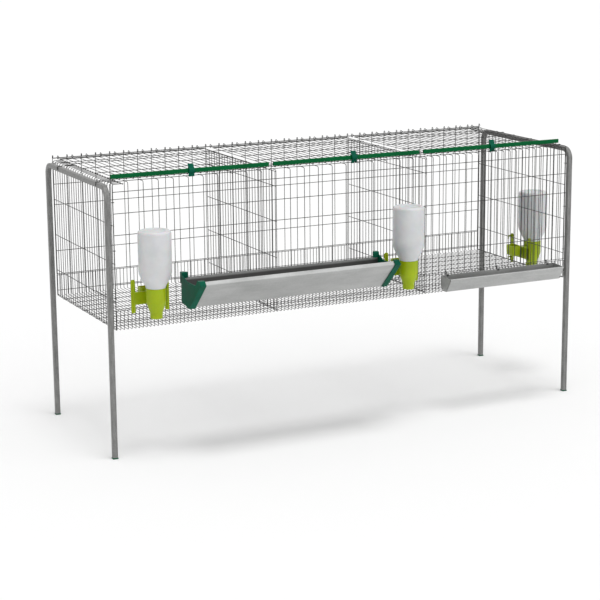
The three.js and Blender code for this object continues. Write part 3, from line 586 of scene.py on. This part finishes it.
def makeEndPanel(name, planeX, inward, nodes):
    p, r = endPanel, cage["wire"]
    places = np.linspace(p["first"], p["last"], p["count"])
    path = rounded([
        (planeX, 0, p["bottom"] - r), (planeX, 0, p["lipZ"]), (planeX + inward * (p["lipDepth"] + r), 0, p["lipZ"]),
    ], p["bend"])
    hook = rounded([
        (planeX + inward * (p["lipDepth"] + r), 0, p["lipZ"]), (planeX - inward * p["hookOut"], 0, p["lipZ"]),
        (planeX - inward * p["hookOut"], 0, p["lipZ"] - p["hookDrop"]),
    ], p["hookBend"])
    rowX = planeX + inward * cage["layer"]
    rows = (p["bottom"], *p["rows"])
    rowEnds = [(0, p["first"] - r, 0), (0, p["last"] + r, 0)]
    rowOffsets = [(rowX, 0, z) for z in rows]
    rowOffsets.append((planeX + inward * p["lipDepth"], 0, p["lipZ"] - cage["layer"]))
    parts = [
        wires(path, shift(places, 1), r, (0, 1, 0)),
        wires(hook, shift(p["hooks"], 1), r, (0, 1, 0)),
        wires(rowEnds, rowOffsets, r, (0, 0, 1)),
        welds(crossGrid([planeX + inward * cage["layer"] / 2], places, rows), weldSize(0)),
    ]
    addPiece(name, *merge(parts), wireFinish, "cage", "wire", nodes)


def makeDivider(name, planeX, node):
    p, r = divider, cage["wire"]
    places = np.linspace(p["first"], p["last"], endPanel["count"])
    rows = (endPanel["bottom"], *p["rows"], p["top"])
    ends = [(planeX, 0, endPanel["bottom"] - r), (planeX, 0, p["top"] + r)]
    rowEnds = [(planeX + cage["layer"], p["first"] - r, 0), (planeX + cage["layer"], p["last"] + r, 0)]
    parts = [
        wires(ends, shift(places, 1), r, (0, 1, 0)),
        wires(rowEnds, shift(rows, 2), r, (0, 0, 1)),
        welds(crossGrid([planeX + cage["layer"] / 2], places, rows), weldSize(0)),
    ]
    addPiece(name, *merge(parts), wireFinish, "cage", "wire", [node])


# Floor: fine wires from front to back, turned up at both edges, on cross wires
floorTray = dict(frontY=-2.5, backY=565.13, frontTop=61.5, frontRow=25, backTop=69, backRow=17, crossings=8, bend=4,
                 weld=1.4, weldFlat=0.9)


def makeFloor():
    p, r = floorTray, cage["floorWire"]
    places = np.arange(0, cageLength + 1, cage["floorPitch"])
    path = rounded([
        (0, p["frontY"], p["frontTop"] + r), (0, p["frontY"], 0), (0, p["backY"], 0),
        (0, p["backY"], p["backTop"] + r),
    ], p["bend"], 3)
    layer = cage["floorLayer"]
    crossYs = p["frontY"] + np.arange(1, p["crossings"] + 1) * (p["backY"] - p["frontY"]) / (p["crossings"] + 1)
    frontRows = [(p["frontY"] - layer, p["frontRow"]), (p["frontY"] - layer, p["frontTop"])]
    backRows = [(p["backY"] - layer, p["backRow"]), (p["backY"] - layer, p["backTop"])]
    parts = [
        wires(path, shift(places, 0), r, (1, 0, 0), 6),
        alongX(-r, cageLength + r, frontRows + backRows + [(y, -layer) for y in crossYs], r),
        welds(crossGrid(places, crossYs, [-layer / 2]), weldSize(2, p["weld"], p["weldFlat"])),
        welds(crossGrid(places, [p["frontY"] - layer / 2], [p["frontRow"], p["frontTop"]]),
              weldSize(1, p["weld"], p["weldFlat"])),
    ]
    addPiece("floorWires", *merge(parts), wireFinish, "cage", "wire", ["floor_tray"])


# Lids: fine wires under a few cross wires, a turned-up edge, and curls round the hinge rail
lidSizes = dict(level=462.3, front=37, upturn=15, rows=(78, 189.25, 300.5, 411.75, 523, 537.5), count=24,
                edge=1.5, bend=3.5, curlStart=17.5, curlLevel=467.3, curlRadius=5.5, curlForward=2.4,
                curlRise=1.5, curlSteps=16, curlFrom=150, curlTurn=325)


def makeLid(index):
    p, r = lidSizes, cage["wire"]
    x0 = index * cage["compartment"]
    span = (p["count"] - 1) * cage["fine"]
    left = x0 + (cage["compartment"] - span) / 2
    places = left + np.arange(p["count"]) * cage["fine"]
    rowZ = p["level"] + cage["layer"]
    path = rounded([
        (0, p["front"], p["level"] + p["upturn"] - cage["gap"]), (0, p["front"], p["level"]),
        (0, p["rows"][-1] + r, p["level"]),
    ], p["bend"])
    turn = np.radians(p["curlFrom"] - np.arange(p["curlSteps"] + 1) * p["curlTurn"] / p["curlSteps"])
    middleY, middleZ = cage["depth"] - p["curlForward"], rearPanel["railZ"] + p["curlRise"]
    ring = np.stack([
        np.zeros_like(turn), middleY + p["curlRadius"] * np.cos(turn), middleZ + p["curlRadius"] * np.sin(turn),
    ], -1)
    curl = np.concatenate([[(0, p["rows"][-1] - r, p["curlLevel"])], ring])
    curlPlaces = x0 + p["curlStart"] + np.arange(0, cage["compartment"], cage["coarse"])
    parts = [
        wires(path, shift(places, 0), r, (1, 0, 0)),
        alongX(left - r, left + span + r, [(y, rowZ) for y in p["rows"]], r),
        alongX(left - r, left + span + r, [(p["front"], p["level"] + p["upturn"])], p["edge"]),
        wires(curl, shift(curlPlaces, 0), r, (1, 0, 0)),
        welds(crossGrid(places, p["rows"], [(rowZ + p["level"]) / 2]), weldSize(2)),
    ]
    name = f"lid_{index + 1}"
    addPiece(f"lidWires_{index + 1}", *merge(parts), wireFinish, name, "wire", [name])


makeFrontPanel()
makeRearPanel()
makeEndPanel("leftEndWires", 0, 1, ["left_end_panel", "left_end_lip"])
makeEndPanel("rightEndWires", cageLength, -1, ["right_end_panel", "right_end_lip"])
makeDivider("dividerWires_1", cage["compartment"], "divider_1")
makeDivider("dividerWires_2", 2 * cage["compartment"], "divider_2")
makeFloor()
for index in range(cage["count"]):
    makeLid(index)
print("wire pieces made")

# Corner rings: open wire rings round the two uprights that meet at each front corner
rings = dict(heights=(100, 250, 400), inside=3.25, wire=0.8, openTurn=150, steps=24)


def makeRings():
    p = rings
    turn = np.radians(np.linspace(-p["openTurn"], p["openTurn"], p["steps"] + 1))
    reach = p["inside"] + p["wire"]
    parts = []
    for middleX, away in ((cage["gap"], math.pi), (cageLength - cage["gap"], 0.0)):
        across, deep = reach * np.cos(turn + away), reach * np.sin(turn + away)
        circle = np.stack([middleX + across, cage["wire"] + deep, 0 * turn], -1)
        parts.append(wires(circle, shift(p["heights"], 2), p["wire"], (0, 0, 1)))
    nodes = [f"ring_front_{side}_{level}" for side in ("left", "right") for level in ("low", "middle", "high")]
    addPiece("cornerRings", *merge(parts), wireFinish, "cage", "wire", nodes)


# Frames: each one length of square tube bent twice, with a moulded plug in each end
tubeFrame = dict(size=16, corner=2.4, gap=10, overhang=4.25, top=454, bend=32, bendSteps=14, foot=4.3,
                 plug=[(0, 7.8, 1.2), (0.35, 8.6, 2.0), (1.1, 9.0, 2.4), (3.0, 9.0, 2.4), (3.7, 8.7, 2.2),
                       (4.0, 8.0, 2.0), (4.2, 7.0, 1.0)])


def makeFrame(name, x0, node):
    p = tubeFrame
    half = p["size"] / 2
    front, back = half - p["overhang"], cage["depth"] + p["overhang"] - half
    bottom, top = p["foot"] - cage["floorLevel"], p["top"] - half
    middle = x0 + half
    path = rounded([(middle, front, bottom), (middle, front, top), (middle, back, top), (middle, back, bottom)],
                   p["bend"], p["bendSteps"])
    part = carry(roundedSquare(half, p["corner"], 5), path, (1, 0, 0))
    addPiece(name, *part, tubeFinish, "cage", "tube", [node], smoothAngle=angles["tube"])


# Each level of a plug is its height, its half width and its corner radius
def makePlugs():
    p = tubeFrame
    half, ground = p["size"] / 2, -cage["floorLevel"]
    levels = [(height, wide, wide, corner) for height, wide, corner in p["plug"]]
    parts = []
    for x in (-p["gap"] - half, cageLength + p["gap"] + half):
        for y in (half - p["overhang"], cage["depth"] + p["overhang"] - half):
            parts.append(stack(levels, (x, y, ground)))
    nodes = [f"foot_plug_{end}_{side}" for end in ("front", "rear") for side in ("left", "right")]
    addPiece("footPlugs", *merge(parts), footGreen, "cage", "foot", nodes)


# Edge strips: a plastic channel with round shoulders, pressed down over each lid's front edge
edgeStrip = dict(endGap=8, half=3.2, wall=1.2, height=13.4, top=480.5, shoulder=2.2)


def makeStrip(index):
    p = edgeStrip
    y, slot, low = lidSizes["front"], p["half"] - p["wall"], p["top"] - p["height"]
    over = rounded([(y + p["half"], low), (y + p["half"], p["top"]), (y - p["half"], p["top"]), (y - p["half"], low)],
                   p["shoulder"], 6)
    under = rounded([(y - slot, low), (y - slot, p["top"] - p["wall"]), (y + slot, p["top"] - p["wall"]),
                     (y + slot, low)], p["shoulder"] - p["wall"], 4)
    x0 = index * cage["compartment"]
    part = prism(np.concatenate([over, under]), x0 + p["endGap"], x0 + cage["compartment"] - p["endGap"])
    addPiece(f"lidEdge_{index + 1}", *part, stripGreen, f"lid_{index + 1}", "green_strip", [f"lid_strip_{index + 1}"],
             smoothAngle=angles["tube"])


# Latch clips: the turning eye, finger and thumb tab from the CAD, with rounded edges
latchClip = dict(edge=0.5)


def makeClip(index):
    node = f"lid_clip_{index + 1}"
    softCopy(f"latchClip_{index + 1}", capGreen, f"clip_{index + 1}", node, latchClip["edge"])


# Long trough: one sheet folded round small radii, between its moulded caps
longTrough = dict(
    left=216, right=915, inset=3.3, back=-8.65, backTop=145, backFold=71, run=57.35, bottom=61.5, depth=145.35,
    frontTop=147, rim=9.5, thick=1.0, fold=3.0, paintedShadeStrength=0.85, unshadedBand=9,
    shadeFadeSteps=(0.4, 1), capEdge=0.9,
)


def makeLongTrough():
    p = longTrough
    front = p["back"] - p["depth"]
    line = rounded([
        (p["back"], p["backTop"]), (p["back"], p["backFold"]), (p["back"] - p["run"], p["bottom"]),
        (front, p["frontTop"]), (front + p["rim"], p["frontTop"] + p["rim"]),
    ], p["fold"], 5)
    # Two points on the back wall under the rim, where the painted shade fades in below a band that stays unshaded
    edge = [(p["back"], p["backTop"] - p["unshadedBand"] * share) for share in p["shadeFadeSteps"]]
    line = np.concatenate([line[:1], edge, line[1:]])
    outline = np.concatenate([line, beside(line, p["thick"])[::-1]])
    points, faces = prism(outline, p["left"] + p["inset"], p["right"] - p["inset"])
    # Painted shade: points on the sheet's inner face, clear of the front lip and the back rim's band, get a darkened
    # colour
    paintedShadeMask = np.min(np.linalg.norm(points[:, None, 1:] - line[None], axis=2), axis=1) < p["thick"] / 2
    paintedShadeMask &= (points[:, 1] > front + 1) & (points[:, 2] < p["backTop"] - p["unshadedBand"] / 2)
    addPiece("longTroughSheet", points, faces, sheetFinish, "trough_long", "sheet", ["long_trough"],
             smoothAngle=angles["sheet"], inside=paintedShadeMask * p["paintedShadeStrength"])


# The caps keep their CAD shape, with rounded edges
def makeTroughCaps():
    for side in ("left", "right"):
        node = f"trough_cap_{side}"
        softCopy(f"troughCap_{side}", capGreen, "trough_long", node, longTrough["capEdge"])


# Small trough: a folded sheet with a crease along its front, closed ends and three bent tabs
smallTrough = dict(
    rightGap=45, length=450, back=-6.46, backTop=58, backFold=20, bottomBack=19.5, bottomFront=36, bottom=8,
    crease=53.5, creaseZ=32, front=65.5, frontTop=54, rim=6, thick=1.0, fold=2.2, tabInset=25, tabHalf=4,
    tabTop=67.55, tabLeg=-0.65, tabTip=57, tabBend=1.2, paintedShadeStrength=0.45,
)


def makeSmallTrough():
    p = smallTrough
    back, thick = p["back"], p["thick"]
    x1 = cageLength - p["rightGap"]
    x0 = x1 - p["length"]
    corners = [
        (back, p["backTop"]), (back, p["backFold"]), (back - p["bottomBack"], p["bottom"]),
        (back - p["bottomFront"], p["bottom"]), (back - p["crease"], p["creaseZ"]), (back - p["front"], p["frontTop"]),
    ]
    rim = (back - p["front"] + p["rim"], p["frontTop"] + thick)
    line = rounded([*corners, rim], p["fold"], 5)
    outline = np.concatenate([line, beside(line, -thick)[::-1]])
    parts = [prism(outline, x0, x1)]
    wall = np.array(corners)
    for a, b in ((x0, x0 + thick), (x1 - thick, x1)):
        parts.append(prism(wall, a, b))
    leg = p["tabLeg"]
    tab = rounded([
        (back, p["backTop"] - p["rim"]), (back, p["tabTop"] + thick), (leg + thick, p["tabTop"] + thick),
        (leg + thick, p["tabTip"]),
    ], p["tabBend"], 3)
    tabOutline = np.concatenate([tab, beside(tab, thick)[::-1]])
    for place in (x0 + p["tabInset"], (x0 + x1) / 2, x1 - p["tabInset"]):
        middle = besideUpright(place, p["tabHalf"], cage["middle"])
        parts.append(prism(tabOutline, middle - p["tabHalf"], middle + p["tabHalf"]))
    points, faces = merge(parts)
    # Painted shade: points on the sheet's inner face, below the front top, get a darkened colour, weaker than in the
    # long trough
    paintedShadeMask = np.min(np.linalg.norm(points[:, None, 1:] - beside(line, -thick)[None], axis=2), axis=1) < thick / 2
    paintedShadeMask &= (points[:, 1] > back - p["front"] + 1) & (points[:, 2] < p["frontTop"])
    addPiece("smallTroughSheet", points, faces, sheetFinish, "trough_small", "sheet", ["small_trough"],
             smoothAngle=angles["sheet"], inside=paintedShadeMask * p["paintedShadeStrength"])


# Drinkers: a milky bottle upside down in a lime holder. Sizes from the bottle's axis, the panel at +Y.
drinkers = dict(leftX=110, middleGap=99)
bottle = dict(
    reach=57, top=315, profile=[
        (0, 311), (28, 311), (33, 311.4), (36.5, 314.8), (42, 315), (48, 313.8), (51.6, 309.5), (52, 303), (52, 262),
        (51.7, 214), (51.7, 208), (52, 202), (52, 190), (50.2, 178), (45.5, 166), (39, 153), (33.5, 144), (31, 139),
        (31, 135.4), (29, 135.3), (26.5, 135.2), (26.5, 108), (24, 106), (0, 106),
    ],
)
holder = dict(
    back=-5.86, span=112, wall=3, plateBottom=76, plateTop=117, flange=9, bar=14, barBottom=50, barTop=156, barEnd=5.5,
    rib=5, rows=(66, 144), hookGap=1.55, hookCap=4, hookWall=2.5, hookLeg=10, hookWidth=5, hookReach=10.21,
    hookCut=1.4, arm=30, armBottom=80, armStart=25, neck=16, neckBottom=90, neckWall=2.5, cupGap=6, cupDepth=34,
    bite=0.2, ribEnd=0.5, ribCut=5.5, edge=0.7,
    innerCup=[
        (87, 18, 11, 4), (87.8, 20.5, 13, 5), (91, 23, 15.2, 6), (99, 24.2, 16.3, 6.5), (122.8, 25, 17, 7),
        (124, 24.6, 16.6, 6.6), (124, 22.5, 14.5, 4.5), (99, 21.7, 13.8, 4), (91.5, 19.5, 11.7, 3.5),
        (89.5, 17, 10, 3),
    ],
    cup=[
        (0, 39), (15, 39), (18.6, 39.1), (19.5, 40.5), (19.5, 55), (20, 58.5), (25, 73), (30.4, 88.5), (31, 92),
        (31, 128), (31, 133.8), (30.4, 135), (29, 135), (28.5, 134), (28.5, 92), (27, 86), (18.8, 62.6), (0, 62),
    ],
)


# A holder's parts: the cup, the plate with its two hook bars, the arm, the open channel and the inner cup.
# Parts that join sink into each other by the bite or a multiple of it, so that no faces coincide.
def holderParts(neckShift, legPlaces):
    p = holder
    panel = bottle["reach"]
    plate = panel + p["back"]
    front = plate - p["wall"]
    half, bite = p["span"] / 2, p["bite"]
    parts = [
        lathe(softened(p["cup"], 2), (0, 0, 0)),
        boxPart(-half, half, front, plate, p["plateBottom"], p["plateTop"]),
        boxPart(-half, half, plate - p["flange"], plate - bite, p["plateTop"] - p["wall"], p["plateTop"] + bite / 2),
        boxPart(-p["arm"] / 2, p["arm"] / 2, p["armStart"], plate - 1.5 * bite, p["armBottom"], p["plateTop"] - bite),
    ]
    for side, leg in zip((-1, 1), legPlaces):
        x, wide = side * half, p["bar"] / 2
        bar = roundedOutline([(x - wide, p["barBottom"]), (x + wide, p["barBottom"]), (x + wide, p["barTop"]),
                              (x - wide, p["barTop"])], p["barEnd"], 5)
        parts.append(prism(bar, front - bite, plate, axis=1))
        low, high, cut = p["barBottom"] + p["ribEnd"], p["barTop"] - p["ribEnd"], p["ribCut"]
        rib = [(front - p["rib"], low + cut), (front - p["rib"], high - cut), (front, high), (front, low)]
        parts.append(prism(rib, x - p["wall"] / 2, x + p["wall"] / 2))
        for row in p["rows"]:
            under, reach = row + p["hookGap"], plate + p["hookReach"]
            hook = [
                (front, under), (reach, under), (reach, under - p["hookLeg"]),
                (reach + p["hookWall"], under - p["hookLeg"]),
                (reach + p["hookWall"], under + p["hookCap"] - p["hookCut"]),
                (reach + p["hookWall"] - p["hookCut"], under + p["hookCap"]), (front, under + p["hookCap"]),
            ]
            parts.append(prism(hook, leg - p["hookWidth"] / 2, leg + p["hookWidth"] / 2))
    x0, x1 = neckShift - p["neck"] / 2, neckShift + p["neck"] / 2
    start, wall = panel + p["cupGap"], p["neckWall"]
    neckStart, neckEnd = front + 1.5 * bite, start + 5 * bite
    parts += [
        boxPart(x0, x1, neckStart, neckEnd, p["neckBottom"], p["neckBottom"] + wall),
        boxPart(x0, x0 + wall, neckStart, neckEnd, p["neckBottom"] + bite, p["plateTop"] - 1.5 * bite),
        boxPart(x1 - wall, x1, neckStart, neckEnd, p["neckBottom"] + bite, p["plateTop"] - 1.5 * bite),
    ]
    parts.append(stack(p["innerCup"], (neckShift, start + p["cupDepth"] / 2, 0), 5))
    return parts


# A drinker at its place; its neck and hook legs move just clear of the panel's nearest uprights
def makeDrinker(side, place, turn, along, pitch, first):
    clear = lambda offset, half: besideUpright(along + offset, half, pitch, first) - along
    neckShift = clear(0, holder["neck"] / 2)
    legPlaces = [clear(offset, holder["hookWidth"] / 2) for offset in (-holder["span"] / 2, holder["span"] / 2)]
    parts = [turned(part, turn, place) for part in holderParts(neckShift, legPlaces)]
    addPiece(f"drinkerHolder_{side}", *merge(parts), limePlastic, f"drinker_{side}", "lime", [f"holder_{side}"],
             bevel=holder["edge"])
    body = turned(lathe(softened(bottle["profile"], 2), (0, 0, 0)), turn, place)
    addPiece(f"drinkerBottle_{side}", *body, milkyPlastic, f"bottle_{side}", "bottle", [f"bottle_{side}"],
             smoothAngle=angles["bottle"])


makeRings()
makeFrame("leftTube", -tubeFrame["gap"] - tubeFrame["size"], "left_frame")
makeFrame("rightTube", cageLength + tubeFrame["gap"], "right_frame")
makePlugs()
for index in range(cage["count"]):
    makeStrip(index)
    makeClip(index)
makeLongTrough()
makeTroughCaps()
makeSmallTrough()
reach = bottle["reach"]
leftX, middleX = drinkers["leftX"], (cage["count"] - 1) * cage["compartment"] - drinkers["middleGap"]
sideY, sideDrop = cage["depth"] / 2, frontPanel["rows"][1] - endPanel["rows"][0]
endPitch = (endPanel["last"] - endPanel["first"]) / (endPanel["count"] - 1)
makeDrinker("left", (leftX, -reach, 0), 0, leftX, cage["coarse"], 0)
makeDrinker("middle", (middleX, -reach, 0), 0, middleX, cage["coarse"], 0)
makeDrinker("right", (cageLength + reach, sideY, -sideDrop), math.pi / 2, sideY, endPitch, endPanel["first"])
print("tubes, troughs, clips and drinkers made")

# Camera at the photograph's angle, from the left frame's front corner on the ground
camera = dict(focalPixels=1801.1, imagePixels=600, yaw=26.091, pitch=12.869, roll=-0.47,
              place=(-1.8685, -5.1038, 1.3268), sensorWidth=36, farClip=200)
yaw, pitch, roll = (math.radians(camera[key]) for key in ("yaw", "pitch", "roll"))
ahead = Vector((math.sin(yaw) * math.cos(pitch), math.cos(yaw) * math.cos(pitch), -math.sin(pitch)))
side = ahead.cross(Vector((0, 0, 1))).normalized()
upward = side.cross(ahead)
right = math.cos(roll) * side + math.sin(roll) * upward
top = -math.sin(roll) * side + math.cos(roll) * upward
cameraData = bpy.data.cameras.new("photoCamera")
cameraData.sensor_width = camera["sensorWidth"]
cameraData.lens = camera["focalPixels"] / camera["imagePixels"] * cameraData.sensor_width
cameraData.clip_end = camera["farClip"]
cameraObject = bpy.data.objects.new("photoCamera", cameraData)
turn = Matrix((right, top, -ahead)).transposed().to_4x4()
cameraObject.matrix_world = Matrix.Translation(Vector(cageOrigin + np.array(camera["place"]))) @ turn
bpy.context.scene.collection.objects.link(cameraObject)
bpy.context.scene.camera = cameraObject

# Floor, world and lamps: the world shows white to the camera and in reflections, and lights at its own level
studio = dict(floorReach=60, floorColour=(0.92, 0.92, 0.92), floorRough=0.9, worldLight=0.62)
floorMesh = bpy.data.meshes.new("studioFloor")
reach = studio["floorReach"]
floorMesh.from_pydata([(-reach, -reach, groundLevel), (reach, -reach, groundLevel), (reach, reach, groundLevel),
                       (-reach, reach, groundLevel)], [], [(0, 1, 2, 3)])
studioFloor = bpy.data.objects.new("studioFloor", floorMesh)
bpy.context.scene.collection.objects.link(studioFloor)
floorFinish = Finish("studioFloor")
floorFinish.set(colour=studio["floorColour"], rough=studio["floorRough"], specular=0.0)
floorMesh.materials.append(floorFinish.material)

world = bpy.data.worlds.new("studioWorld")
bpy.context.scene.world = world
world.use_nodes = True
sky = Nodes(world.node_tree)
direct, through, mirrored = (
    sky.node("ShaderNodeLightPath", output=f"Is {ray} Ray") for ray in ("Camera", "Transmission", "Glossy")
)
seen = direct.maths("MAXIMUM", through).maths("MAXIMUM", mirrored)
level = sky.node("ShaderNodeMapRange", None, {"Value": seen, "To Min": studio["worldLight"], "To Max": 1.0})
background = sky.tree.nodes["Background"]
sky.feed(background.inputs["Strength"], level)
sky.feed(background.inputs["Color"], (1, 1, 1))

lamps = [
    dict(name="overhead", energy=1.2, softness=20, tilt=(9, 0)),
    dict(name="frontRight", energy=0.8, softness=80, tilt=(66, 30)),
]
for lamp in lamps:
    data = bpy.data.lights.new(lamp["name"], "SUN")
    data.energy = lamp["energy"]
    data.angle = math.radians(lamp["softness"])
    thing = bpy.data.objects.new(lamp["name"], data)
    thing.rotation_euler = (math.radians(lamp["tilt"][0]), 0, math.radians(lamp["tilt"][1]))
    bpy.context.scene.collection.objects.link(thing)

bpy.context.scene.view_settings.view_transform = "Standard"
print("scene ready")
